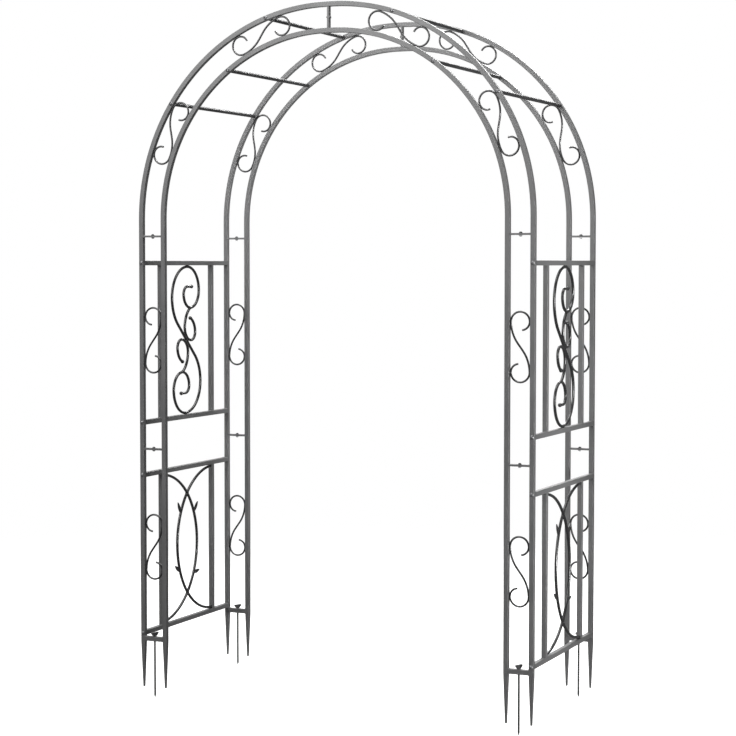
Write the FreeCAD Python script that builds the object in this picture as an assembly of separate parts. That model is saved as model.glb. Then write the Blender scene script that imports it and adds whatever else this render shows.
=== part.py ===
import FreeCAD, Part
import os
from math import cos, radians, sin

# Metal trellis arch for climbing plants, in millimetres.
# +X is to the right of a person in front of the arch, +Y is through the arch,
# +Z is up.  The origin is the middle of the footprint at ground level, where
# the undersides of the four foot bars meet the soil.

V = FreeCAD.Vector
X_AXIS = V(1, 0, 0)
Y_AXIS = V(0, 1, 0)
Z_AXIS = V(0, 0, 1)

# Overall sizes, between the centre lines of the square rails
ARCH_WIDTH = 1312.0
FRAME_PITCH = 567.0
LADDER_PITCH = 79.0

# Square tube of the rails, foot bars and panel frames
TUBE = 15.0
TUBE_WALL = 1.2
TUBE_CORNER = 1.5

# Heights of the leg sections, and the arch that stands on them
LOWER_LEG = 616.75
UPPER_LEG = 676.0
ARCH_SHOULDER = 53.25
CROWN_FLAT = 12.0

# Panels between the front and back outer rails
PANEL_HEIGHT = 508.0
PANEL_TO_JOINT = 84.0
PANEL_BAR_OFFSET = 169.0

# Sleeves inside the rail joints, and the bolted plates between the rails
SLEEVE_HALF = 40.0
SLEEVE_WALL = 1.5
PLATE = 3.0

# Spikes under the rails
SPIKE_LENGTH = 149.0
SPIKE_TIP = 6.0
SPIKE_TIP_ROUND = 1.4
SPIKE_STEM = 20.0

# Loose ground stakes through the foot bars
STAKE_RADIUS = 3.25
STAKE_DEPTH = 180.5
STAKE_POINT = 8.0
STAKE_POINT_RADIUS = 1.2
STAKE_HEAD_LENGTH = 28.0
STAKE_HEAD_THICKNESS = 7.0
STAKE_NECK_LENGTH = 9.0
STAKE_NECK_HEIGHT = 9.0
STAKE_HEAD_HEIGHT = 4.5
STAKE_HEAD_ROUND = 2.0
STAKE_HEAD_ANGLE = 68.0

# Wire scrolls between the two rails of a ladder
WIRE_RADIUS = 3.0
SCROLL_REACH = 74.25
SCROLL_SLOPE = 53.5
SCROLL_TIGHTENING = 4.15
SCROLL_END_TURN = 85.0
SCROLL_HEIGHTS = (303.5, 963.5)
ARCH_SCROLL_ANGLES = (26.7, 68.7)

# Round bars from the front arch to the back arch, as (rail, angle) up the arch
ROOF_BAR_RADIUS = 6.0
ROOF_BARS = (("outer", 34.2, "low"), ("inner", 54.2, "middle"), ("outer", 72.0, "high"))

# Scroll ornament of the upper panels.  The widths, radii and lengths of the large
# S and of its hooks are shares of the half height of the S, so the ornament grows
# with its panel.
ROD_RADIUS = 4.5
BALL_RADIUS = 6.25
CURL_WIDTH = 0.39
CURL_SLOPE = 43.0
CURL_RADII = (0.4225, 0.3218, 0.2393, 0.1857, 0.1031)
CURL_TAIL = 0.1155
HOOK_ACROSS = 0.1341
HOOK_DROP = 0.2698
HOOK_SIDE_RADIUS = 0.1114
HOOK_TOP_RADIUS = 0.2042
HOOK_TOP_TURN = 70.0

# Crossing hoops and leaves of the lower panels.  Each leaf is on the hoop whose
# side is given, part of the way from the panel's middle up or down to where the
# hoops cross, and rises by an angle.
HOOP_END_IN_BAR = 6.5
LEAF_LENGTH = 42.0
LEAF_WIDTH = 12.0
LEAF_THICKNESS = 3.0
LEAVES = ((-1, 0.616, 65.0), (1, 0.586, 51.0), (-1, -0.556, 36.0), (1, -0.646, 9.0))

# Long bolts from the frames into the panels and roof bars, and the short bolts and
# nuts that hold the plates together
FRAME_BOLT = {"shank": 3.0, "head": 6.5, "dome": 3.6, "socket": 4.0}
JOINT_BOLT = {"shank": 2.5, "head": 5.5, "dome": 4.5, "socket": 3.0}
BOLT_SOCKET_DEPTH = 2.0
FRAME_BOLT_REACH = 14.0
FRAME_BOLT_END = 2.5
JOINT_BOLT_END = 1.0
NUT_FLATS = 8.0
NUT_HEIGHT = 3.2
PLUG_LENGTH = 20.0

# Clearances
BOLT_HOLE_CLEARANCE = 0.25
THREAD_CLEARANCE = 0.05
SLEEVE_CLEARANCE = 0.1
STAKE_CLEARANCE = 0.1
SEAT_GAP = 0.05
CROWN_SLEEVE_CLEARANCE = 1.0
WELD_GAP = 0.1

# Sizes that follow from the ones above.  COPE_RADIUS is the radius of the hollow
# that a rod is cut to where it meets another rod.
HALF_TUBE = TUBE / 2
BORE = TUBE - 2 * TUBE_WALL
BORE_CORNER = TUBE_CORNER / 3
HALF_WIDTH = ARCH_WIDTH / 2
HALF_DEPTH = FRAME_PITCH / 2
RAIL_X = {"outer": HALF_WIDTH, "inner": HALF_WIDTH - LADDER_PITCH}
LADDER_X = HALF_WIDTH - LADDER_PITCH / 2
LADDER_GAP = LADDER_PITCH - TUBE
FIT_STEPS = 12
LEG_TOP = LOWER_LEG + UPPER_LEG
SPRING_HEIGHT = LEG_TOP + ARCH_SHOULDER
CROWN_SLEEVE_HALF = CROWN_FLAT - CROWN_SLEEVE_CLEARANCE
RAIL_RADIUS = {name: x - CROWN_FLAT for name, x in RAIL_X.items()}
LADDER_RADIUS = LADDER_X - CROWN_FLAT
SCROLL_HALF_WIDTH = LADDER_GAP / 2 - WELD_GAP - WIRE_RADIUS
PANEL_INSIDE = (PANEL_HEIGHT - TUBE) / 2
COPE_RADIUS = ROD_RADIUS + WELD_GAP
ORNAMENT_REACH = PANEL_INSIDE - WELD_GAP - ROD_RADIUS
HOOP_RADIUS = ORNAMENT_REACH
HOOP_CENTRE_OFFSET = PANEL_BAR_OFFSET + HOOP_END_IN_BAR
HOOP_CROSSING = (HOOP_RADIUS ** 2 - HOOP_CENTRE_OFFSET ** 2) ** 0.5
SECTIONS = {"lower": (0.0, LOWER_LEG), "upper": (LOWER_LEG, LEG_TOP)}
LOWER_PANEL_TOP = LOWER_LEG - PANEL_TO_JOINT
UPPER_PANEL_TOP = LEG_TOP - PANEL_TO_JOINT
PANEL_MIDDLES = {
    "lower": LOWER_PANEL_TOP - PANEL_HEIGHT / 2,
    "upper": UPPER_PANEL_TOP - PANEL_HEIGHT / 2,
}
PANEL_RAIL_HEIGHTS = [
    middle + end * PANEL_HEIGHT / 2 for middle in PANEL_MIDDLES.values() for end in (-1, 1)
]
SIDES = {"left": -1, "right": 1}
FRAMES = {"front": -1, "back": 1}
CORNERS = [
    (frame + "_" + side, y_sign * HALF_DEPTH, x_sign)
    for frame, y_sign in FRAMES.items()
    for side, x_sign in SIDES.items()
]


# ---------------------------------------------------------------- basic shapes


def rounded_rectangle(centre, u, v, width, height, radius):
    """Closed wire of a rectangle with round corners, in the plane of u and v."""
    edges = []
    half_w = width / 2
    half_h = height / 2
    corners = ((1, 1, 0), (-1, 1, 90), (-1, -1, 180), (1, -1, 270))
    arcs = []
    for x_sign, y_sign, start in corners:
        middle = centre + u * (x_sign * (half_w - radius)) + v * (y_sign * (half_h - radius))
        points = []
        for angle in (start, start + 45, start + 90):
            offset = u * (radius * cos(radians(angle))) + v * (radius * sin(radians(angle)))
            points.append(middle + offset)
        arcs.append(points)
    for index, points in enumerate(arcs):
        edges.append(Part.Arc(*points).toShape())
        following = arcs[(index + 1) % len(arcs)][0]
        edges.append(Part.LineSegment(points[2], following).toShape())
    return Part.Wire(edges)


def tube_face(centre, u, v):
    """Cross-section of the square tube."""
    outside = rounded_rectangle(centre, u, v, TUBE, TUBE, TUBE_CORNER)
    inside = rounded_rectangle(centre, u, v, BORE, BORE, BORE_CORNER)
    return Part.Face(outside).cut(Part.Face(inside)).Faces[0]


def square_bar(start, run, u, v, size):
    """Solid square bar from start along the vector run."""
    return Part.Face(rounded_rectangle(start, u, v, size, size, BORE_CORNER)).extrude(run)


def cylinder(start, direction, radius, length):
    """Round bar from start along direction."""
    return Part.makeCylinder(radius, length, start, direction)


def turned(shape, angle):
    """Copy of a flat-lying shape turned about its own origin."""
    copy = shape.copy()
    copy.rotate(V(0, 0, 0), Z_AXIS, angle)
    return copy


def stand(shape, origin, across, up):
    """Move a shape drawn flat in X and Y so that X runs across and Y runs up."""
    normal = across.cross(up)
    matrix = FreeCAD.Matrix(
        across.x, up.x, normal.x, origin.x,
        across.y, up.y, normal.y, origin.y,
        across.z, up.z, normal.z, origin.z,
    )
    copy = shape.copy()
    copy.Placement = FreeCAD.Placement(matrix).multiply(shape.Placement)
    return copy


def mirrored(shape, x_sign):
    """The shape itself on the right, or its mirror image on the left."""
    if x_sign > 0:
        return shape
    return shape.mirror(V(0, 0, 0), X_AXIS)


class Path:
    """Flat path of straight runs and tangent bends, from a start and a heading."""

    def __init__(self, start, heading):
        self.start = start
        self.first_heading = heading
        self.point = start
        self.heading = heading
        self.edges = []

    def run(self, length):
        angle = radians(self.heading)
        end = self.point + V(cos(angle), sin(angle), 0) * length
        self.edges.append(Part.LineSegment(self.point, end).toShape())
        self.point = end
        return self

    def bend(self, radius, turn):
        """Bend to the left for a positive turn, to the right for a negative one."""
        side = 1 if turn > 0 else -1
        across = radians(self.heading + 90 * side)
        centre = self.point + V(cos(across), sin(across), 0) * radius
        points = []
        for share in (0.0, 0.5, 1.0):
            angle = across + radians(180 + turn * share)
            points.append(centre + V(cos(angle), sin(angle), 0) * radius)
        self.edges.append(Part.Arc(*points).toShape())
        self.point = points[2]
        self.heading += turn
        return self

    def rod(self, radius):
        """Round rod along the path."""
        angle = radians(self.first_heading)
        circle = Part.Circle(self.start, V(cos(angle), sin(angle), 0), radius)
        profile = Part.Wire([circle.toShape()])
        return Part.Wire(self.edges).makePipeShell([profile], True, False)


# ----------------------------------------------------------------- rails


def straight_rail(x, y, bottom, top):
    """Upright tube."""
    return tube_face(V(x, y, bottom), X_AXIS, Y_AXIS).extrude(Z_AXIS * (top - bottom))


def arch_rail(name, y):
    """Right-hand quarter of the arch: shoulder, quarter circle and flat crown."""
    x = RAIL_X[name]
    radius = RAIL_RADIUS[name]
    centre = V(CROWN_FLAT, y, SPRING_HEIGHT)
    shoulder = straight_rail(x, y, LEG_TOP, SPRING_HEIGHT)
    quarter = tube_face(V(x, y, SPRING_HEIGHT), X_AXIS, Y_AXIS).revolve(centre, -Y_AXIS, 90)
    crown_start = V(CROWN_FLAT, y, SPRING_HEIGHT + radius)
    crown = tube_face(crown_start, Z_AXIS, Y_AXIS).extrude(-X_AXIS * CROWN_FLAT)
    return shoulder.fuse([quarter, crown])


def on_arch(radius, angle, y):
    """Point on the right-hand quarter of the arch."""
    return V(CROWN_FLAT + radius * cos(radians(angle)), y, SPRING_HEIGHT + radius * sin(radians(angle)))


def cross_hole(point):
    """Clearance hole through a rail, along Y."""
    radius = FRAME_BOLT["shank"] + BOLT_HOLE_CLEARANCE
    return cylinder(point - Y_AXIS * TUBE, Y_AXIS, radius, 2 * TUBE)


def leg_rail(name, section, x_sign, y):
    """One straight rail of a leg, drilled for the panel bolts in the outer rail."""
    bottom, top = SECTIONS[section]
    x = x_sign * RAIL_X[name]
    rail = straight_rail(x, y, bottom, top)
    if name == "outer":
        heights = [height for height in PANEL_RAIL_HEIGHTS if bottom < height < top]
        rail = rail.cut([cross_hole(V(x, y, height)) for height in heights])
    return rail


def quarter_rail(name, x_sign, y):
    """One curved rail, drilled for the roof bars that it carries."""
    rail = arch_rail(name, y)
    angles = [angle for carrier, angle, level in ROOF_BARS if carrier == name]
    holes = [cross_hole(on_arch(RAIL_RADIUS[name], angle, y)) for angle in angles]
    return mirrored(rail.cut(holes), x_sign)


def foot_bar(x_sign, y):
    """Tube between the two rails of a leg at the ground, drilled for the stake."""
    start = V(x_sign * LADDER_X - LADDER_GAP / 2, y, HALF_TUBE)
    bar = tube_face(start, Y_AXIS, Z_AXIS).extrude(X_AXIS * LADDER_GAP)
    hole_start = V(x_sign * LADDER_X, y, -TUBE)
    return bar.cut(cylinder(hole_start, Z_AXIS, STAKE_RADIUS + STAKE_CLEARANCE, 3 * TUBE))


def rail_sleeves():
    """Square sleeves inside the rails across every butt joint."""
    size = BORE - 2 * SLEEVE_CLEARANCE
    hollow = size - 2 * SLEEVE_WALL
    sleeves = []
    for y_sign in FRAMES.values():
        y = y_sign * HALF_DEPTH
        for name, x in RAIL_X.items():
            places = [(V(side * x, y, height), Z_AXIS, X_AXIS, SLEEVE_HALF)
                      for side in SIDES.values() for height in (LOWER_LEG, LEG_TOP)]
            crown = V(0, y, SPRING_HEIGHT + RAIL_RADIUS[name])
            places.append((crown, X_AXIS, Z_AXIS, CROWN_SLEEVE_HALF))
            for centre, along, across, half in places:
                start = centre - along * half
                outside = square_bar(start, along * (2 * half), across, Y_AXIS, size)
                inside = square_bar(start, along * (2 * half), across, Y_AXIS, hollow)
                sleeves.append(outside.cut(inside))
    return sleeves


def spike():
    """Four-sided spike with a round-edged tip, and the stem that goes up into a rail."""
    top = V(0, 0, 0)
    tip = -Z_AXIS * SPIKE_LENGTH
    wide = rounded_rectangle(top, X_AXIS, Y_AXIS, TUBE, TUBE, TUBE_CORNER)
    narrow = rounded_rectangle(tip, X_AXIS, Y_AXIS, SPIKE_TIP, SPIKE_TIP, TUBE_CORNER)
    taper = Part.makeLoft([narrow, wide], True, True)
    ends = [edge for edge in taper.Edges if edge.BoundBox.ZMax < tip.z + WELD_GAP]
    taper = taper.makeFillet(SPIKE_TIP_ROUND, ends)
    stem_size = BORE - 2 * SLEEVE_CLEARANCE
    stem = square_bar(top, Z_AXIS * SPIKE_STEM, X_AXIS, Y_AXIS, stem_size)
    return taper.fuse(stem)


def leg_spikes(shape, x_sign, y):
    """Spikes under the two rails of one leg."""
    return [shape.translated(V(x_sign * x, y, 0)) for x in RAIL_X.values()]


# ------------------------------------------------------------ bolted joints


def dome_bolt(bolt, seat, direction, length):
    """Bolt whose domed head stands on seat and whose shank runs along direction."""
    ball = (bolt["head"] ** 2 + bolt["dome"] ** 2) / (2 * bolt["dome"])
    top = seat - direction * bolt["dome"]
    sphere = Part.makeSphere(ball, top + direction * ball)
    head = sphere.common(cylinder(seat, -direction, bolt["head"], bolt["dome"]))
    socket = hex_prism(top, direction, bolt["socket"], BOLT_SOCKET_DEPTH)
    return head.cut(socket).fuse(cylinder(seat, direction, bolt["shank"], length))


def hex_prism(start, direction, flats, height):
    """Six-sided prism from start along direction."""
    across = Y_AXIS if abs(direction.dot(Y_AXIS)) < 0.5 else X_AXIS
    beside = direction.cross(across)
    reach = flats / 2 / cos(radians(30))
    points = []
    for corner in range(7):
        angle = radians(60 * corner)
        points.append(start + across * (reach * cos(angle)) + beside * (reach * sin(angle)))
    return Part.Face(Part.makePolygon(points)).extrude(direction * height)


def joint_places():
    """Middle and bolt direction of every pair of plates: leg joints, then crowns."""
    places = []
    for y_sign in FRAMES.values():
        y = y_sign * HALF_DEPTH
        for x_sign in SIDES.values():
            for height in (LOWER_LEG, LEG_TOP):
                places.append((V(x_sign * LADDER_X, y, height), -Z_AXIS))
        places.append((V(0, y, SPRING_HEIGHT + LADDER_RADIUS), X_AXIS))
    return places


def joint_plates():
    """Two flat plates back to back in every joint, each welded to its own ladder."""
    plates = []
    for centre, direction in joint_places():
        across = X_AXIS if abs(direction.z) > 0.5 else Z_AXIS
        hole_radius = JOINT_BOLT["shank"] + BOLT_HOLE_CLEARANCE
        hole = cylinder(centre - direction * TUBE, direction, hole_radius, 2 * TUBE)
        corner = centre - across * (LADDER_GAP / 2) - Y_AXIS * HALF_TUBE
        outline = [
            corner,
            corner + across * LADDER_GAP,
            corner + across * LADDER_GAP + Y_AXIS * TUBE,
            corner + Y_AXIS * TUBE,
            corner,
        ]
        for side in (-1, 1):
            plate = Part.Face(Part.makePolygon(outline)).extrude(direction * (side * PLATE))
            plates.append(plate.cut(hole))
    return plates


def joint_bolts():
    """Short bolts through the plates."""
    length = 2 * PLATE + NUT_HEIGHT + JOINT_BOLT_END
    return [
        dome_bolt(JOINT_BOLT, centre - direction * PLATE, direction, length)
        for centre, direction in joint_places()
    ]


def joint_nuts():
    """Six-sided nuts on the short bolts."""
    nuts = []
    for centre, direction in joint_places():
        seat = centre + direction * PLATE
        body = hex_prism(seat, direction, NUT_FLATS, NUT_HEIGHT)
        thread = cylinder(seat, direction, JOINT_BOLT["shank"] + THREAD_CLEARANCE, NUT_HEIGHT)
        nuts.append(body.cut(thread))
    return nuts


def cross_bar_ends():
    """Points where panel rails and roof bars meet the rails, in the middle plane."""
    ends = []
    for x_sign in SIDES.values():
        for height in PANEL_RAIL_HEIGHTS:
            ends.append(V(x_sign * HALF_WIDTH, 0, height))
        for name, angle, level in ROOF_BARS:
            point = on_arch(RAIL_RADIUS[name], angle, 0)
            ends.append(V(x_sign * point.x, 0, point.z))
    return ends


def frame_bolts():
    """Long bolts from the front and back faces into panel rails and roof bars."""
    bolts = []
    for middle in cross_bar_ends():
        for y_sign in FRAMES.values():
            seat = middle + Y_AXIS * (y_sign * (HALF_DEPTH + HALF_TUBE))
            bolts.append(dome_bolt(FRAME_BOLT, seat, -Y_AXIS * y_sign, TUBE + FRAME_BOLT_REACH))
    return bolts


# ---------------------------------------------------------------- panels


def panel_rail_plugs():
    """Threaded plugs in the ends of the panel rails."""
    size = BORE - 2 * SLEEVE_CLEARANCE
    thread_radius = FRAME_BOLT["shank"] + THREAD_CLEARANCE
    plugs = []
    for x_sign in SIDES.values():
        for height in PANEL_RAIL_HEIGHTS:
            for y_sign in FRAMES.values():
                start = V(x_sign * HALF_WIDTH, y_sign * (HALF_DEPTH - HALF_TUBE), height)
                inward = -Y_AXIS * y_sign
                plug = square_bar(start, inward * PLUG_LENGTH, X_AXIS, Z_AXIS, size)
                thread = cylinder(start, inward, thread_radius, PLUG_LENGTH)
                plugs.append(plug.cut(thread))
    return plugs


def panel_bars(x_sign, middle):
    """The two uprights of a panel."""
    x = x_sign * HALF_WIDTH
    bottom = middle - PANEL_INSIDE
    top = middle + PANEL_INSIDE
    return [straight_rail(x, side * PANEL_BAR_OFFSET, bottom, top) for side in (-1, 1)]


def panel_frame(x_sign, middle):
    """Two rails from frame to frame and the two uprights between them."""
    length = FRAME_PITCH - TUBE
    shapes = panel_bars(x_sign, middle)
    for end in (-1, 1):
        start = V(x_sign * HALF_WIDTH, -length / 2, middle + end * PANEL_HEIGHT / 2)
        shapes.append(tube_face(start, X_AXIS, Z_AXIS).extrude(Y_AXIS * length))
    return shapes


def shoulder_radius(width, reach, slope):
    """Radius of the long bend of an S between its straight middle and its curls."""
    rise = sin(radians(slope))
    return (reach * cos(radians(slope)) - width * rise) / (1 - rise)


def s_half(width, reach, slope, curls, tail):
    """Half of an S, from its middle up to the left and round to its free end.

    The straight middle leaves at slope, bends until it is upright at width to
    the left and reach above the middle, and goes on through the curls."""
    shoulder = shoulder_radius(width, reach, slope)
    straight = reach * sin(radians(slope)) - (shoulder - width) * cos(radians(slope))
    path = Path(V(0, 0, 0), 180 - slope)
    path.run(straight).bend(shoulder, slope - 90)
    for radius, turn in curls:
        path.bend(radius, -turn)
    if tail > 0:
        path.run(tail)
    return path


def curl_half():
    """Half of the large S of an upper panel."""
    size = ORNAMENT_REACH
    curls = [(share * size, 90.0) for share in CURL_RADII]
    reach = (1 - CURL_RADII[0]) * size
    return s_half(CURL_WIDTH * size, reach, CURL_SLOPE, curls, CURL_TAIL * size)


def hook_root():
    """Lowest point of the upper loop of the large S, where a hook leaves it."""
    top, side, low = CURL_RADII[:3]
    across = top - CURL_WIDTH + side - low
    height = 1 - side - low
    return V(across, height, 0) * ORNAMENT_REACH


def hook_path():
    """Small hook that swings down from the upper loop and up again off the large S."""
    size = ORNAMENT_REACH
    root = hook_root()
    centre = V(HOOK_ACROSS * size, root.y - HOOK_DROP * size, 0)
    slope = radians(CURL_SLOPE)
    to_middle = centre.x * sin(slope) + centre.y * cos(slope)
    bowl_radius = to_middle - 2 * ROD_RADIUS - 2 * WELD_GAP
    across = root.x - centre.x + bowl_radius
    drop = root.y - centre.y
    stem_radius = (across ** 2 + drop ** 2) / (2 * across)
    stem_turn = V(stem_radius - across, drop, 0).getAngle(V(stem_radius, 0, 0))
    stem_turn = stem_turn * 180 / radians(180)
    path = Path(root, 270 - stem_turn)
    path.bend(stem_radius, stem_turn).bend(bowl_radius, 90)
    return path.bend(HOOK_SIDE_RADIUS * size, 90).bend(HOOK_TOP_RADIUS * size, HOOK_TOP_TURN)


def ball_ended(path):
    """Rod along a path with a ball at its free end."""
    return path.rod(ROD_RADIUS).fuse(Part.makeSphere(BALL_RADIUS, path.point))


def upper_ornament():
    """Large S with a hook on each loop, drawn flat."""
    half = ball_ended(curl_half())
    large_s = half.fuse(turned(half, 180)).removeSplitter()
    hook = ball_ended(hook_path()).cut(curl_half().rod(COPE_RADIUS))
    return [large_s, hook, turned(hook, 180)]


def hoop(side, rod_radius):
    """Half ring that starts and ends in one upright and bulges past the middle."""
    centre = side * HOOP_CENTRE_OFFSET
    path = Path(V(centre, HOOP_RADIUS, 0), 90 + 90 * side)
    return path.bend(HOOP_RADIUS, 180 * side).rod(rod_radius)


def leaf(side, share, rise):
    """Pointed flat leaf whose foot is in the hoop, drawn flat."""
    height = share * HOOP_CROSSING
    reach = (HOOP_RADIUS ** 2 - height ** 2) ** 0.5 - HOOP_CENTRE_OFFSET
    foot = V(side * reach, height, 0)
    angle = rise if side > 0 else 180 - rise
    along = V(cos(radians(angle)), sin(radians(angle)), 0)
    beside = V(-along.y, along.x, 0)
    tip = foot + along * LEAF_LENGTH
    belly = foot + along * (LEAF_LENGTH / 2)
    edges = [
        Part.Arc(foot, belly + beside * (LEAF_WIDTH / 2), tip).toShape(),
        Part.Arc(tip, belly - beside * (LEAF_WIDTH / 2), foot).toShape(),
    ]
    face = Part.Face(Part.Wire(edges))
    face.translate(-Z_AXIS * (LEAF_THICKNESS / 2))
    return face.extrude(Z_AXIS * LEAF_THICKNESS)


def lower_ornament():
    """Two crossing hoops, the second cut where it meets the first, and four leaves."""
    upright = PANEL_BAR_OFFSET - HALF_TUBE
    inside = Part.makeBox(2 * upright, 2 * PANEL_INSIDE, TUBE, V(-upright, -PANEL_INSIDE, -HALF_TUBE))
    whole = hoop(1, ROD_RADIUS).common(inside)
    copes = [hoop(side, COPE_RADIUS) for side in (1, -1)]
    cut_hoop = hoop(-1, ROD_RADIUS).common(inside).cut(copes[0])
    leaves = [leaf(*place).cut(copes) for place in LEAVES]
    return [whole, cut_hoop] + leaves


def panel_ornament(shapes, x_sign, middle):
    """Stand the flat shapes up in the plane of a side panel."""
    return [stand(shape, V(x_sign * HALF_WIDTH, 0, middle), Y_AXIS, Z_AXIS) for shape in shapes]


# ------------------------------------------------------- scrolls and roof bars


def arch_scroll_fit():
    """Half width of an arch scroll, and how far it is from the centre of the arch.

    The curls follow the outer rail, and the long bends clear the inner rail, which
    bulges out between them.  Each step takes up half of the gap that is left."""
    margin = WIRE_RADIUS + WELD_GAP
    outside = RAIL_RADIUS["outer"] - HALF_TUBE - margin
    inside = RAIL_RADIUS["inner"] + HALF_TUBE + margin
    width = SCROLL_HALF_WIDTH
    for step in range(FIT_STEPS):
        radius = ((outside - width) ** 2 - SCROLL_REACH ** 2) ** 0.5
        shoulder = shoulder_radius(width, SCROLL_REACH, SCROLL_SLOPE)
        bend_centre = ((radius - width + shoulder) ** 2 + SCROLL_REACH ** 2) ** 0.5
        width += (bend_centre - shoulder - inside) / 2
    return width, radius


def wire_scroll(width):
    """S of thin wire that fills the gap between two rails, drawn flat."""
    curls = [(width, 180.0), (width - SCROLL_TIGHTENING, SCROLL_END_TURN)]
    half = s_half(width, SCROLL_REACH, SCROLL_SLOPE, curls, 0).rod(WIRE_RADIUS)
    return half.fuse(turned(half, 180)).removeSplitter()


def leg_scrolls(x_sign, y):
    """The two scrolls of one leg."""
    flat = wire_scroll(SCROLL_HALF_WIDTH)
    places = [V(LADDER_X, y, height) for height in SCROLL_HEIGHTS]
    return [mirrored(stand(flat, place, X_AXIS, Z_AXIS), x_sign) for place in places]


def arch_scrolls(x_sign, y):
    """The two scrolls of a quarter arch, turned over from those of the leg."""
    width, radius = arch_scroll_fit()
    flat = wire_scroll(width)
    shapes = []
    for angle in ARCH_SCROLL_ANGLES:
        inward = V(-cos(radians(angle)), 0, -sin(radians(angle)))
        along = V(-sin(radians(angle)), 0, cos(radians(angle)))
        shape = stand(flat, on_arch(radius, angle, y), inward, along)
        shapes.append(mirrored(shape, x_sign))
    return shapes


def roof_bar(name, angle, x_sign):
    """Round bar between the arches, with a threaded hole in each end."""
    length = FRAME_PITCH - TUBE
    point = on_arch(RAIL_RADIUS[name], angle, -length / 2)
    start = V(x_sign * point.x, point.y, point.z)
    bar = cylinder(start, Y_AXIS, ROOF_BAR_RADIUS, length)
    thread = FRAME_BOLT["shank"] + THREAD_CLEARANCE
    depth = FRAME_BOLT_REACH + FRAME_BOLT_END
    near = cylinder(start, Y_AXIS, thread, depth)
    far = cylinder(start + Y_AXIS * length, -Y_AXIS, thread, depth)
    return bar.cut([near, far])


# ---------------------------------------------------------------- stakes


def stake(x_sign, y):
    """Pointed rod that drops through a foot bar and hangs on its flat head."""
    x = x_sign * LADDER_X
    seat = TUBE + SEAT_GAP
    point = V(x, y, -STAKE_DEPTH)
    cone = Part.makeCone(STAKE_POINT_RADIUS, STAKE_RADIUS, STAKE_POINT, point)
    shank_start = point + Z_AXIS * STAKE_POINT
    shank = cylinder(shank_start, Z_AXIS, STAKE_RADIUS, seat - shank_start.z)
    angle = radians(STAKE_HEAD_ANGLE)
    u = V(cos(angle), sin(angle), 0)
    v = V(-sin(angle), cos(angle), 0)
    thick = STAKE_HEAD_THICKNESS
    base = V(x, y, seat)
    wings = base + Z_AXIS * STAKE_NECK_HEIGHT
    low = rounded_rectangle(base, u, v, STAKE_NECK_LENGTH, thick, STAKE_HEAD_ROUND)
    high = rounded_rectangle(wings, u, v, STAKE_HEAD_LENGTH, thick, STAKE_HEAD_ROUND)
    neck = Part.makeLoft([low, high], True, True)
    head = Part.Face(high).extrude(Z_AXIS * STAKE_HEAD_HEIGHT)
    return cone.fuse([shank, neck, head])


# ---------------------------------------------------------------- assembly


def corner_nodes():
    """Rails, foot bar, spikes, scrolls and stake of each of the four corners."""
    nodes = {}
    one_spike = spike()
    for corner, y, x_sign in CORNERS:
        for name in RAIL_X:
            for section in SECTIONS:
                node = corner + "_" + section + "_" + name + "_rail"
                nodes[node] = [leg_rail(name, section, x_sign, y)]
            nodes[corner + "_arch_" + name + "_rail"] = [quarter_rail(name, x_sign, y)]
        nodes[corner + "_foot_bar"] = [foot_bar(x_sign, y)]
        nodes[corner + "_spikes"] = leg_spikes(one_spike, x_sign, y)
        nodes[corner + "_scrolls"] = leg_scrolls(x_sign, y) + arch_scrolls(x_sign, y)
        nodes[corner + "_stake"] = [stake(x_sign, y)]
    return nodes


def side_nodes():
    """Panels and roof bars of the two sides."""
    nodes = {}
    ornaments = {"lower": lower_ornament(), "upper": upper_ornament()}
    for side, x_sign in SIDES.items():
        for level, middle in PANEL_MIDDLES.items():
            panel = side + "_" + level + "_panel"
            nodes[panel + "_frame"] = panel_frame(x_sign, middle)
            nodes[panel + "_ornament"] = panel_ornament(ornaments[level], x_sign, middle)
        for name, angle, level in ROOF_BARS:
            nodes[side + "_" + level + "_roof_bar"] = [roof_bar(name, angle, x_sign)]
    return nodes


def shared_nodes():
    """Small repeated pieces."""
    return {
        "rail_sleeves": rail_sleeves(),
        "joint_plates": joint_plates(),
        "joint_bolts": joint_bolts(),
        "joint_nuts": joint_nuts(),
        "frame_bolts": frame_bolts(),
        "panel_rail_plugs": panel_rail_plugs(),
    }


def single_solids(shapes):
    """Every solid of a list of shapes, on its own."""
    solids = []
    for shape in shapes:
        solids.extend(shape.Solids)
    return solids


def main():
    os.makedirs("parts", exist_ok=True)
    nodes = {}
    nodes.update(corner_nodes())
    nodes.update(side_nodes())
    nodes.update(shared_nodes())
    for node, shapes in nodes.items():
        solids = single_solids(shapes)
        whole = solids[0] if len(solids) == 1 else Part.makeCompound(solids)
        whole.exportStep("parts/" + node + ".step")
        print(node, len(solids), round(whole.Volume, 1), whole.isValid())


main()
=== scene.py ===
import random
from math import cos, pi, radians, sin

import bmesh
import bpy
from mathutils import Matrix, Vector
from mathutils.bvhtree import BVHTree

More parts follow.
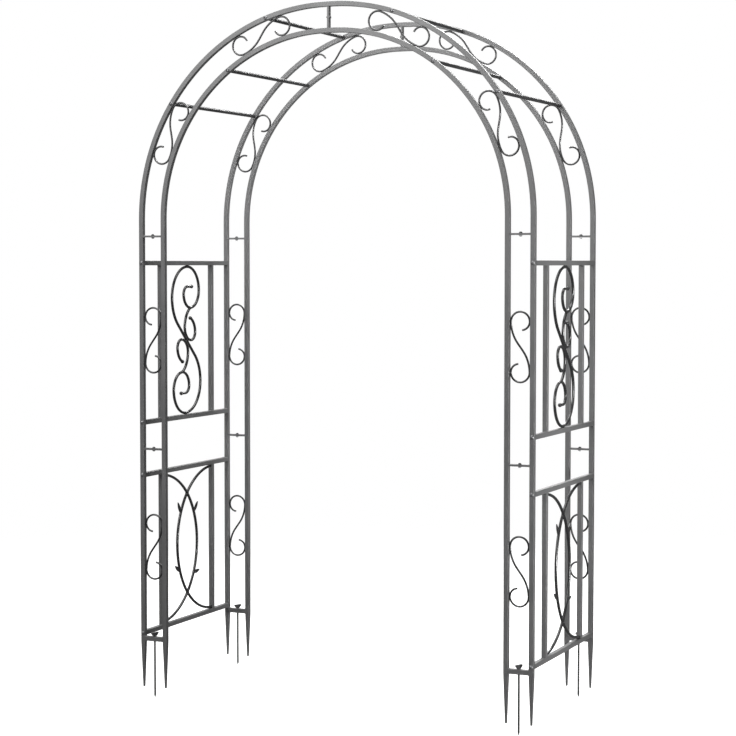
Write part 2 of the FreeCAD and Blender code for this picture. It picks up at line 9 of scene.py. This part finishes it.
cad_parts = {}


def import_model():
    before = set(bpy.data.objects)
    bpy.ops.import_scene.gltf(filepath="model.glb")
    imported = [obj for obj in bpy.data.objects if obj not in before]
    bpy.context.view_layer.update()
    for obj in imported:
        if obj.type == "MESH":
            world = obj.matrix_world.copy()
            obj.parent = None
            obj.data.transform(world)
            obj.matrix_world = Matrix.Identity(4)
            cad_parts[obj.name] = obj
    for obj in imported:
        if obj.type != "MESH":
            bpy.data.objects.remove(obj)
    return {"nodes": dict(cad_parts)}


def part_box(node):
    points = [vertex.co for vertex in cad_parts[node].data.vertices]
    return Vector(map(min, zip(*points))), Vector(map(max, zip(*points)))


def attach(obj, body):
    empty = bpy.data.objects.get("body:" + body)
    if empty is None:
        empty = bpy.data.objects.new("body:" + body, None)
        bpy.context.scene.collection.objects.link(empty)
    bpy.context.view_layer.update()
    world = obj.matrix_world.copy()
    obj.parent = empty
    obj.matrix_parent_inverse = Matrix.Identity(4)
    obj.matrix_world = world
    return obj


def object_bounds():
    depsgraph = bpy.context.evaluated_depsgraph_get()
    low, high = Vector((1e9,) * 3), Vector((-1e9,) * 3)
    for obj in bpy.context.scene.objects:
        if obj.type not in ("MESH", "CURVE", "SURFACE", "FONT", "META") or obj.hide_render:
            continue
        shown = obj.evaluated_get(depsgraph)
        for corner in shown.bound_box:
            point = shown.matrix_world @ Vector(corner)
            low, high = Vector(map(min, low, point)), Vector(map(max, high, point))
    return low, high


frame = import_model()
cad_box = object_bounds()

# Everything is in metres, in the part's own frame: +X right, +Y through the arch, +Z up.

X_AXIS = Vector((1, 0, 0))
Y_AXIS = Vector((0, 1, 0))
Z_AXIS = Vector((0, 0, 1))

# Camera
CAMERA_PLACE = (2.5504, -5.7058, 1.2048)
CAMERA_YAW = 0.42727
CAMERA_PITCH = -0.04932
CAMERA_LENS = 96.25
CAMERA_SENSOR = 36.0
CAMERA_SHIFT = (0.0199, -0.0090)
CAMERA_SIGHT = 60.0

# Stage and the even light from all round
FLOOR_GAP = 0.002
FLOOR_REACH = 12.0
FLOOR_SIDES = 96
FLOOR_FADE = (1.6, 4.2)
FLOOR_GLOW = 0.62
FLOOR_TONES = (0.9, 0.94)
FLOOR_BOUNCE = 0.16
ROUND_LIGHT = 0.15

# Base colours
GREY = (0.12, 0.12, 0.121)
WIRE = (0.022, 0.022, 0.023)
ROD = (0.016, 0.016, 0.017)
BAR = (0.03, 0.03, 0.031)
STAKE = (0.06, 0.06, 0.061)
BLACK = (0.035, 0.035, 0.036)
DULL_ZINC = (0.2, 0.2, 0.205)
ZINC = (0.5, 0.5, 0.51)
STEEL = (0.45, 0.45, 0.46)
DUST = (0.33, 0.33, 0.32)
SCUFF = (0.42, 0.42, 0.43)
WHITE = (1, 1, 1)

# Surface settings, and texture features per metre
COAT_GLOSS = 0.16
PLATING_METAL = 0.75
FLOOR_GRAIN = 40.0
COAT_CLOUDS = 9.0
COAT_GRAINS = 1700.0
COAT_DUST = 24.0
COAT_RUBS = 30.0
COAT_PEEL = 420.0
PLATING_BLOTCHES = 320.0
PLATING_SCUFFS = 900.0
PLATING_MARKS = 2400.0

# Sizes of the part that the welds follow
MILLIMETRE = 0.001
TUBE = 15.0 * MILLIMETRE
PLATE = 3.0 * MILLIMETRE
WIRE_RADIUS = 3.0 * MILLIMETRE
ROD_RADIUS = 4.5 * MILLIMETRE

# Search for the places where pieces touch
UPRIGHT_REACH = 0.4
TOUCH_REACH = 0.4 * MILLIMETRE
TOUCH_CLUSTER = 14 * MILLIMETRE
SAME_SPOT = 0.01 * MILLIMETRE
SAME_HEIGHT = 0.1 * MILLIMETRE
LEAF_SPREAD = 60 * MILLIMETRE

# Weld beads.  ROD_BEAD gives the length, the place beside and out from the surface, and
# the thickness of a bead at a rod, as shares of the radius of the rod.
BEAD_SIDES = 10
BEAD_RIPPLE = 1.3 * MILLIMETRE
BEAD_RIPPLE_DEPTH = 0.14
BEAD_RIPPLE_STEPS = 4
BEAD_FEWEST_STEPS = 6
BEAD_END = 0.12
BEAD_UNEVEN = (0.94, 1.06)
BEAD_WANDER = (-0.03, 0.03)
ROD_BEAD = {"length": 2.4, "beside": 0.62, "out": 0.12, "radius": 0.36}
ROD_BEAD_HALF = (0.42, 0.55)
LEAF_BEAD = 2.4 * MILLIMETRE
FILLET_HALF_LENGTH = 0.36 * TUBE
FILLET_OFFSET = 0.2
PANEL_FILLET = 1.3 * MILLIMETRE
PLATE_FILLET = 1.2 * MILLIMETRE
FOOT_FILLET = 1.5 * MILLIMETRE
FOOT_INSET = 2.2 * MILLIMETRE

SIDES = ("left", "right")
FRAMES = ("front", "back")
CORNERS = [face + "_" + side for face in FRAMES for side in SIDES]
PANELS = [side + "_" + height + "_panel" for side in SIDES for height in ("lower", "upper")]
chance = random.Random(11)


# ---------------------------------------------------------------- shader parts


def plug(tree, socket, value):
    """Link a socket's value to a socket, or set a plain one on it."""
    if isinstance(value, bpy.types.NodeSocket):
        tree.links.new(value, socket)
    else:
        socket.default_value = value


def add_node(tree, kind, settings=None, **inputs):
    """Add a shader node.  Underscores in input names stand for spaces."""
    made = tree.nodes.new("ShaderNode" + kind)
    for key, value in (settings or {}).items():
        setattr(made, key, value)
    for key, value in inputs.items():
        plug(tree, made.inputs[key.replace("_", " ")], value)
    return made


def noise(tree, place, scale, detail, roughness=0.55):
    """Grey noise, with scale in features per metre."""
    made = add_node(
        tree, "TexNoise", Vector=place, Scale=scale, Detail=detail, Roughness=roughness
    )
    return made.outputs["Fac"]


def ramp(tree, value, stops):
    """Colour ramp through (place, colour) stops."""
    made = add_node(tree, "ValToRGB", Fac=value)
    elements = made.color_ramp.elements
    while len(elements) < len(stops):
        elements.new(0.5)
    for element, (place, colour) in zip(elements, stops):
        element.position = place
        element.color = colour
    return made.outputs["Color"]


def level(tree, value, given, wanted):
    """Value moved smoothly from a given range to a wanted one, held at the ends."""
    settings = {"interpolation_type": "SMOOTHSTEP"}
    made = add_node(
        tree, "MapRange", settings, Value=value,
        From_Min=given[0], From_Max=given[1], To_Min=wanted[0], To_Max=wanted[1],
    )
    return made.outputs["Result"]


def combine(tree, operation, first, second):
    """Sum, product and so on of two numbers."""
    made = tree.nodes.new("ShaderNodeMath")
    made.operation = operation
    for socket, value in zip(made.inputs, (first, second)):
        plug(tree, socket, value)
    return made.outputs["Value"]


def blend_colours(tree, share, first, second, kind="MIX"):
    """Second colour laid over the first by a share."""
    made = tree.nodes.new("ShaderNodeMix")
    made.data_type = "RGBA"
    made.blend_type = kind
    for index, value in ((0, share), (6, first), (7, second)):
        plug(tree, made.inputs[index], value)
    return made.outputs[2]


def shade(colour, factor):
    """Colour made lighter or darker, as a four-part tuple."""
    return tuple(min(1.0, part * factor) for part in colour) + (1.0,)


def new_material(name):
    """Empty node material, with its tree, its main shader and its coordinates."""
    material = bpy.data.materials.new(name)
    material.use_nodes = True
    tree = material.node_tree
    surface = tree.nodes["Principled BSDF"]
    coordinates = add_node(tree, "TexCoord")
    return material, tree, surface, coordinates


def corner_mask(tree, coordinates, axis):
    """1 on the rounded corners of a square tube whose flat faces look along or across axis."""
    parts = add_node(tree, "SeparateXYZ", Vector=coordinates.outputs["Normal"])
    size = combine(tree, "ABSOLUTE", parts.outputs[axis], 0.0)
    rise = level(tree, size, (0.12, 0.5), (0.0, 1.0))
    fall = level(tree, size, (0.8, 0.985), (1.0, 0.0))
    return combine(tree, "MULTIPLY", rise, fall)


def upward_mask(tree, coordinates):
    """1 where the surface looks up, for settled dust."""
    parts = add_node(tree, "SeparateXYZ", Vector=coordinates.outputs["Normal"])
    return level(tree, parts.outputs["Z"], (0.35, 0.95), (0.0, 1.0))


def powder_coat(name, colour, gloss, corner_axis=None, peel=1.0, coat=0.0):
    """Satin powder coat: clouded tone, fine grain, orange peel, dust and lightly rubbed corners."""
    material, tree, surface, coordinates = new_material(name)
    place = coordinates.outputs["Object"]
    clouds = noise(tree, place, COAT_CLOUDS, detail=4.0)
    grains = noise(tree, place, COAT_GRAINS, detail=2.0)
    tone = ramp(tree, clouds, [(0.3, shade(colour, 0.9)), (0.72, shade(colour, 1.1))])
    speckle = ramp(tree, grains, [(0.32, shade(WHITE, 0.92)), (0.68, shade(WHITE, 1.0))])
    tone = blend_colours(tree, 1.0, tone, speckle, "MULTIPLY")
    drifts = noise(tree, place, COAT_DUST, detail=4.0)
    dust_noise = level(tree, drifts, (0.38, 0.75), (0.03, 0.2))
    dust = combine(tree, "MULTIPLY", upward_mask(tree, coordinates), dust_noise)
    tone = blend_colours(tree, dust, tone, shade(DUST, 1.0))
    roughness = level(tree, clouds, (0.3, 0.7), (gloss - 0.05, gloss + 0.05))
    roughness = combine(tree, "ADD", roughness, combine(tree, "MULTIPLY", dust, 0.2))
    if corner_axis:
        patches = noise(tree, place, COAT_RUBS, detail=4.0, roughness=0.6)
        rubs = level(tree, patches, (0.4, 0.7), (0.1, 0.45))
        worn = combine(tree, "MULTIPLY", corner_mask(tree, coordinates, corner_axis), rubs)
        tone = blend_colours(tree, worn, tone, shade(colour, 1.35))
        roughness = combine(tree, "SUBTRACT", roughness, combine(tree, "MULTIPLY", worn, 0.12))
    peel_height = noise(tree, place, COAT_PEEL, detail=2.0, roughness=0.4)
    orange_peel = add_node(
        tree, "Bump", Strength=0.1 * peel, Distance=0.12 * MILLIMETRE, Height=peel_height
    )
    grain_bump = add_node(
        tree, "Bump", Strength=0.08, Distance=0.04 * MILLIMETRE, Height=grains,
        Normal=orange_peel.outputs["Normal"],
    )
    tree.links.new(tone, surface.inputs["Base Color"])
    tree.links.new(roughness, surface.inputs["Roughness"])
    tree.links.new(grain_bump.outputs["Normal"], surface.inputs["Normal"])
    surface.inputs["Coat Weight"].default_value = coat
    surface.inputs["Coat Roughness"].default_value = COAT_GLOSS
    return material


def blackened_steel(name, colour, gloss):
    """Plated or blackened steel: blotched tone, fine turning marks and small bright scuffs."""
    material, tree, surface, coordinates = new_material(name)
    place = coordinates.outputs["Object"]
    blotches = noise(tree, place, PLATING_BLOTCHES, detail=5.0, roughness=0.6)
    scratches = noise(tree, place, PLATING_SCUFFS, detail=3.0, roughness=0.7)
    scuffs = level(tree, scratches, (0.6, 0.78), (0.0, 0.55))
    tone = ramp(tree, blotches, [(0.28, shade(colour, 0.7)), (0.75, shade(colour, 1.35))])
    tone = blend_colours(tree, scuffs, tone, shade(SCUFF, 1.0))
    roughness = level(tree, blotches, (0.3, 0.7), (gloss + 0.08, gloss - 0.06))
    marks = noise(tree, place, PLATING_MARKS, detail=2.0)
    bump = add_node(tree, "Bump", Strength=0.15, Distance=0.06 * MILLIMETRE, Height=marks)
    tree.links.new(tone, surface.inputs["Base Color"])
    tree.links.new(roughness, surface.inputs["Roughness"])
    tree.links.new(bump.outputs["Normal"], surface.inputs["Normal"])
    surface.inputs["Metallic"].default_value = PLATING_METAL
    return material


# ------------------------------------------------------------------- materials

finishes = {
    "frame_grey": powder_coat("frame_grey", GREY, 0.42, "Y"),
    "panel_grey": powder_coat("panel_grey", GREY, 0.42, "X"),
    "weld_grey": powder_coat("weld_grey", GREY, 0.46, peel=2.0),
    "wire_black": powder_coat("wire_black", WIRE, 0.3, coat=0.3),
    "rod_black": powder_coat("rod_black", ROD, 0.22, coat=0.35),
    "bar_dark": powder_coat("bar_dark", BAR, 0.46),
    "stake_dark": powder_coat("stake_dark", STAKE, 0.38),
    "fastener_black": blackened_steel("fastener_black", BLACK, 0.38),
    "bolt_zinc": blackened_steel("bolt_zinc", DULL_ZINC, 0.4),
    "nut_zinc": blackened_steel("nut_zinc", ZINC, 0.36),
    "insert_steel": blackened_steel("insert_steel", STEEL, 0.34),
}


def finish_of(node):
    """Name of the finish of a CAD node."""
    if node.endswith("_scrolls"):
        return "wire_black"
    if node.endswith("_ornament"):
        return "rod_black"
    if node.endswith("_roof_bar"):
        return "bar_dark"
    if node.endswith("_stake"):
        return "stake_dark"
    if node.endswith("_panel_frame"):
        return "panel_grey"
    if node == "joint_bolts":
        return "fastener_black"
    if node == "frame_bolts":
        return "bolt_zinc"
    if node == "joint_nuts":
        return "nut_zinc"
    if node in ("rail_sleeves", "panel_rail_plugs"):
        return "insert_steel"
    return "frame_grey"


def dress(piece, finish):
    """Give a piece one material."""
    piece.data.materials.clear()
    piece.data.materials.append(finishes[finish])


for node, piece in frame["nodes"].items():
    dress(piece, finish_of(node))


# ----------------------------------------------------------------- weld beads


class Beads:
    """Weld beads gathered into one mesh."""

    def __init__(self):
        self.mesh = bmesh.new()

    def ring(self, centre, along, radius, beside):
        """Slightly uneven ring of corner points round one place of a bead."""
        across = along.cross(beside).normalized()
        ring = []
        for side in range(BEAD_SIDES):
            angle = 2 * pi * side / BEAD_SIDES
            reach = radius * chance.uniform(*BEAD_UNEVEN)
            offset = beside * (cos(angle) * reach) + across * (sin(angle) * reach)
            ring.append(self.mesh.verts.new(centre + offset))
        return ring

    def run(self, start, end, beside, radius):
        """Rippled bead from start to end, rounded at both ends."""
        along = (end - start).normalized()
        length = (end - start).length
        steps = max(BEAD_FEWEST_STEPS, round(length / BEAD_RIPPLE * BEAD_RIPPLE_STEPS))
        rings = []
        for step in range(steps + 1):
            share = step / steps
            taper = max(BEAD_END, 1 - abs(2 * share - 1) ** 5) ** 0.5
            wave = abs(sin(pi * share * length / BEAD_RIPPLE))
            ripple = 1 - BEAD_RIPPLE_DEPTH + BEAD_RIPPLE_DEPTH * wave
            centre = start.lerp(end, share) + beside * chance.uniform(*BEAD_WANDER) * radius
            rings.append(self.ring(centre, along, radius * taper * ripple, beside))
        for near, far in zip(rings, rings[1:]):
            for side in range(BEAD_SIDES):
                following = (side + 1) % BEAD_SIDES
                self.mesh.faces.new((near[side], near[following], far[following], far[side]))
        self.mesh.faces.new(list(reversed(rings[0])))
        self.mesh.faces.new(rings[-1])

    def piece(self, name, finish, slot):
        """Finished object that rides on the arch."""
        bmesh.ops.recalc_face_normals(self.mesh, faces=self.mesh.faces)
        for face in self.mesh.faces:
            face.smooth = True
        data = bpy.data.meshes.new(name)
        self.mesh.to_mesh(data)
        self.mesh.free()
        made = bpy.data.objects.new(name, data)
        bpy.context.scene.collection.objects.link(made)
        dress(made, finish)
        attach(made, "arch")
        return made


def shell_of(node):
    """Corner points and faces of a CAD node."""
    mesh = frame["nodes"][node].data
    points = [vertex.co.copy() for vertex in mesh.vertices]
    return points, [list(face.vertices) for face in mesh.polygons]


def joined(shells):
    """One shell from several."""
    points = []
    faces = []
    for more_points, more_faces in shells:
        first = len(points)
        points.extend(more_points)
        faces.extend([first + index for index in face] for face in more_faces)
    return points, faces


def separate_shells(node):
    """Shells of the separate solids of a CAD node, whose faces don't share their corner points."""
    points, faces = shell_of(node)
    first_at = {}
    owner = []
    for index, point in enumerate(points):
        spot = tuple(round(part / SAME_SPOT) for part in point)
        owner.append(first_at.setdefault(spot, index))

    def root(index):
        while owner[index] != index:
            owner[index] = owner[owner[index]]
            index = owner[index]
        return index

    for face in faces:
        for index in face[1:]:
            owner[root(index)] = root(face[0])
    shells = {}
    for face in faces:
        shells.setdefault(root(face[0]), []).append(face)
    result = []
    for kept in shells.values():
        used = sorted({index for face in kept for index in face})
        place = {index: number for number, index in enumerate(used)}
        moved = [[place[index] for index in face] for face in kept]
        result.append(([points[index] for index in used], moved))
    return result


def height_of(shell):
    """Height of a shell."""
    heights = [point.z for point in shell[0]]
    return max(heights) - min(heights)


def touching_places(points, shell):
    """Places, with the surface direction there, where points lie against a shell."""
    surface = BVHTree.FromPolygons(*shell)
    clusters = []
    for point in points:
        place, normal, index, distance = surface.find_nearest(point, TOUCH_REACH)
        if place is None:
            continue
        for cluster in clusters:
            if (cluster[0][0] - place).length < TOUCH_CLUSTER:
                cluster.append((place, normal))
                break
        else:
            clusters.append([(place, normal)])
    found = []
    for cluster in clusters:
        middle = sum((place for place, normal in cluster), Vector()) / len(cluster)
        facing = sum((normal for place, normal in cluster), Vector()).normalized()
        found.append((middle, facing))
    return found


def rod_welds(beads, places, plane_normal, rod_radius):
    """A bead each side of every place where a rod lies against something."""
    length = ROD_BEAD["length"] * rod_radius
    outward = ROD_BEAD["out"] * rod_radius
    sideways = ROD_BEAD["beside"] * rod_radius
    for place, facing in places:
        along = facing.cross(plane_normal).normalized()
        for side in (-1, 1):
            beside = plane_normal * side
            middle = place + beside * sideways + facing * outward
            half = along * (length * chance.uniform(*ROD_BEAD_HALF))
            beads.run(middle - half, middle + half, beside, ROD_BEAD["radius"] * rod_radius)


def scroll_welds():
    """Welds between the wire scrolls and the rails of each corner."""
    for corner in CORNERS:
        beads = Beads()
        rails = [
            corner + "_" + section + "_" + rail + "_rail"
            for section in ("lower", "upper", "arch") for rail in ("outer", "inner")
        ]
        points, faces = shell_of(corner + "_scrolls")
        places = touching_places(points, joined(shell_of(rail) for rail in rails))
        rod_welds(beads, places, Y_AXIS, WIRE_RADIUS)
        beads.piece(corner + "_scroll_welds", "wire_black", "dark_wire")


def ornament_welds():
    """Welds between the rods and leaves of the ornaments, and on to the panel frames."""
    for panel in PANELS:
        beads = Beads()
        points, faces = shell_of(panel + "_ornament")
        places = touching_places(points, shell_of(panel + "_frame"))
        rod_welds(beads, places, X_AXIS, ROD_RADIUS)
        shells = separate_shells(panel + "_ornament")
        for number, shell in enumerate(shells):
            for other in shells[:number]:
                places = touching_places(shell[0], other)
                if min(height_of(shell), height_of(other)) < LEAF_SPREAD:
                    rod_welds(beads, places[:1], X_AXIS, LEAF_BEAD)
                else:
                    rod_welds(beads, places, X_AXIS, ROD_RADIUS)
        beads.piece(panel + "_ornament_welds", "rod_black", "dark_rod")


def fillet(beads, middle, along, out, up, radius):
    """Bead in the corner between two faces that look out and up."""
    centre = middle + (out + up) * (FILLET_OFFSET * radius)
    half = along * FILLET_HALF_LENGTH
    beads.run(centre - half, centre + half, up, radius)


def upright_middles(node):
    """Places along Y of the uprights of a panel frame, from the corners of their lower ends."""
    low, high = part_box(node)
    inner = low.z + TUBE
    reach = UPRIGHT_REACH * (high.y - low.y)
    found = []
    for vertex in frame["nodes"][node].data.vertices:
        if abs(vertex.co.z - inner) < SAME_HEIGHT and abs(vertex.co.y) < reach:
            found.append(vertex.co.y)
    front = [y for y in found if y < 0]
    back = [y for y in found if y > 0]
    return [(min(part) + max(part)) / 2 for part in (front, back)]


def panel_frame_welds():
    """Fillet welds on both sides of both ends of every panel upright."""
    beads = Beads()
    for panel in PANELS:
        node = panel + "_frame"
        low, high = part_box(node)
        x = (low.x + high.x) / 2
        for y in upright_middles(node):
            for z, up in ((low.z + TUBE, Z_AXIS), (high.z - TUBE, -Z_AXIS)):
                for out in (-Y_AXIS, Y_AXIS):
                    middle = Vector((x, y, z)) + out * (TUBE / 2)
                    fillet(beads, middle, X_AXIS, out, up, PANEL_FILLET)
    beads.piece("panel_frame_welds", "weld_grey", "grey_tube")


def joint_plate_welds():
    """Fillet welds between the joint plates and the rails beside them."""
    beads = Beads()
    for corner in CORNERS:
        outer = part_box(corner + "_lower_outer_rail")
        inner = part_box(corner + "_lower_inner_rail")
        left, right = sorted((outer, inner), key=lambda box: box[0].x)
        y = (outer[0].y + outer[1].y) / 2
        for section in ("lower", "upper"):
            joint_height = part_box(corner + "_" + section + "_outer_rail")[1].z
            for x, out in ((left[1].x, X_AXIS), (right[0].x, -X_AXIS)):
                for up in (-Z_AXIS, Z_AXIS):
                    middle = Vector((x, y, joint_height)) + up * PLATE
                    fillet(beads, middle, Y_AXIS, out, up, PLATE_FILLET)
    for face in FRAMES:
        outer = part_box(face + "_right_arch_outer_rail")
        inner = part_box(face + "_right_arch_inner_rail")
        y = (outer[0].y + outer[1].y) / 2
        for z, up in ((outer[1].z - TUBE, -Z_AXIS), (inner[1].z, Z_AXIS)):
            for out in (-X_AXIS, X_AXIS):
                middle = Vector((0, y, z)) + out * PLATE
                fillet(beads, middle, Y_AXIS, out, up, PLATE_FILLET)
    beads.piece("joint_plate_welds", "weld_grey", "grey_tube")


def foot_bar_welds():
    """Fillet welds above and below both ends of each foot bar."""
    beads = Beads()
    for corner in CORNERS:
        low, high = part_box(corner + "_foot_bar")
        inset = Y_AXIS * FOOT_INSET
        for x, inward in ((low.x, 1), (high.x, -1)):
            for z, lift in ((high.z, 1), (low.z, -1)):
                offset = FILLET_OFFSET * FOOT_FILLET
                start = Vector((x + inward * offset, low.y, z + lift * offset))
                end = Vector((start.x, high.y, start.z))
                beads.run(start + inset, end - inset, Z_AXIS * lift, FOOT_FILLET)
    beads.piece("foot_bar_welds", "weld_grey", "grey_tube")


scroll_welds()
ornament_welds()
foot_bar_welds()
panel_frame_welds()
joint_plate_welds()


# -------------------------------------------------------------- floor and light


def floor_material():
    """White matt floor with a faint grain, which fades out far from the object."""
    material, tree, surface, coordinates = new_material("floor_white")
    tree.nodes.remove(surface)
    place = coordinates.outputs["Object"]
    grain = noise(tree, place, FLOOR_GRAIN, detail=4.0)
    dark, light = FLOOR_TONES
    tone = ramp(tree, grain, [(0.3, shade(WHITE, dark)), (0.7, shade(WHITE, light))])
    lit = add_node(tree, "BsdfDiffuse", Color=tone)
    glow = add_node(tree, "Emission", Color=tone, Strength=FLOOR_GLOW)
    bright = add_node(tree, "AddShader")
    tree.links.new(lit.outputs[0], bright.inputs[0])
    tree.links.new(glow.outputs[0], bright.inputs[1])
    quiet = add_node(tree, "BsdfDiffuse", Color=shade(WHITE, FLOOR_BOUNCE))
    rays = add_node(tree, "LightPath")
    seen = tree.nodes.new("ShaderNodeMixShader")
    tree.links.new(rays.outputs["Is Camera Ray"], seen.inputs[0])
    tree.links.new(quiet.outputs[0], seen.inputs[1])
    tree.links.new(bright.outputs[0], seen.inputs[2])
    reach = add_node(tree, "VectorMath", {"operation": "LENGTH"})
    tree.links.new(place, reach.inputs[0])
    fade = level(tree, reach.outputs["Value"], FLOOR_FADE, (0.0, 1.0))
    clear = add_node(tree, "BsdfTransparent")
    whole = tree.nodes.new("ShaderNodeMixShader")
    tree.links.new(fade, whole.inputs[0])
    tree.links.new(seen.outputs[0], whole.inputs[1])
    tree.links.new(clear.outputs[0], whole.inputs[2])
    tree.links.new(whole.outputs[0], tree.nodes["Material Output"].inputs["Surface"])
    return material


def floor(height):
    """Round floor just below the lowest tips."""
    mesh = bmesh.new()
    bmesh.ops.create_circle(mesh, cap_ends=True, segments=FLOOR_SIDES, radius=FLOOR_REACH)
    data = bpy.data.meshes.new("floor")
    mesh.to_mesh(data)
    mesh.free()
    made = bpy.data.objects.new("floor", data)
    made.location = (0, 0, height)
    bpy.context.scene.collection.objects.link(made)
    data.materials.append(floor_material())


def softbox(name, place, target, size, power, beam=180):
    """Area light that looks at a target, with the width of its beam in degrees."""
    data = bpy.data.lights.new(name, "AREA")
    data.shape = "RECTANGLE"
    data.size, data.size_y = size
    data.energy = power
    data.spread = radians(beam)
    made = bpy.data.objects.new(name, data)
    made.location = place
    made.rotation_mode = "QUATERNION"
    made.rotation_quaternion = (Vector(target) - Vector(place)).to_track_quat("-Z", "Y")
    bpy.context.scene.collection.objects.link(made)


def world(strength):
    """White to the camera, and a dim even light to everything else."""
    made = bpy.data.worlds.new("studio")
    made.use_nodes = True
    tree = made.node_tree
    back = tree.nodes["Background"]
    back.inputs["Color"].default_value = (1, 1, 1, 1)
    rays = add_node(tree, "LightPath")
    glow = level(tree, rays.outputs["Is Camera Ray"], (0.0, 1.0), (strength, 1.0))
    tree.links.new(glow, back.inputs["Strength"])
    bpy.context.scene.world = made


def camera():
    """Camera at the photograph's viewing angle."""
    data = bpy.data.cameras.new("camera")
    data.lens = CAMERA_LENS
    data.sensor_width = CAMERA_SENSOR
    data.shift_x, data.shift_y = CAMERA_SHIFT
    data.clip_end = CAMERA_SIGHT
    made = bpy.data.objects.new("camera", data)
    made.location = CAMERA_PLACE
    made.rotation_euler = (pi / 2 + CAMERA_PITCH, 0, CAMERA_YAW)
    bpy.context.scene.collection.objects.link(made)
    bpy.context.scene.camera = made


low, high = cad_box
floor(low.z - FLOOR_GAP)
softbox("front_left", place=(-1.4, -3.3, 2.8), target=(0, 0, 1.3), size=(2.6, 2.0), power=128)
softbox(
    "right_strip", place=(2.7, -0.9, 1.0), target=(0.656, -0.05, 1.0), size=(0.3, 2.4),
    power=7.5, beam=28,
)
softbox("overhead", place=(0, 0, high.z + 1.8), target=(0, 0, 0), size=(2.4, 2.4), power=110)
softbox("horizon", place=(-1.7, 3.8, 1.15), target=(0, 0, 1.15), size=(4.2, 1.3), power=24)
softbox("rear", place=(-0.6, 4.0, 3.3), target=(0, 0, 1.0), size=(2.0, 1.2), power=100)
world(ROUND_LIGHT)
camera()
bpy.context.scene.view_settings.view_transform = "Standard"
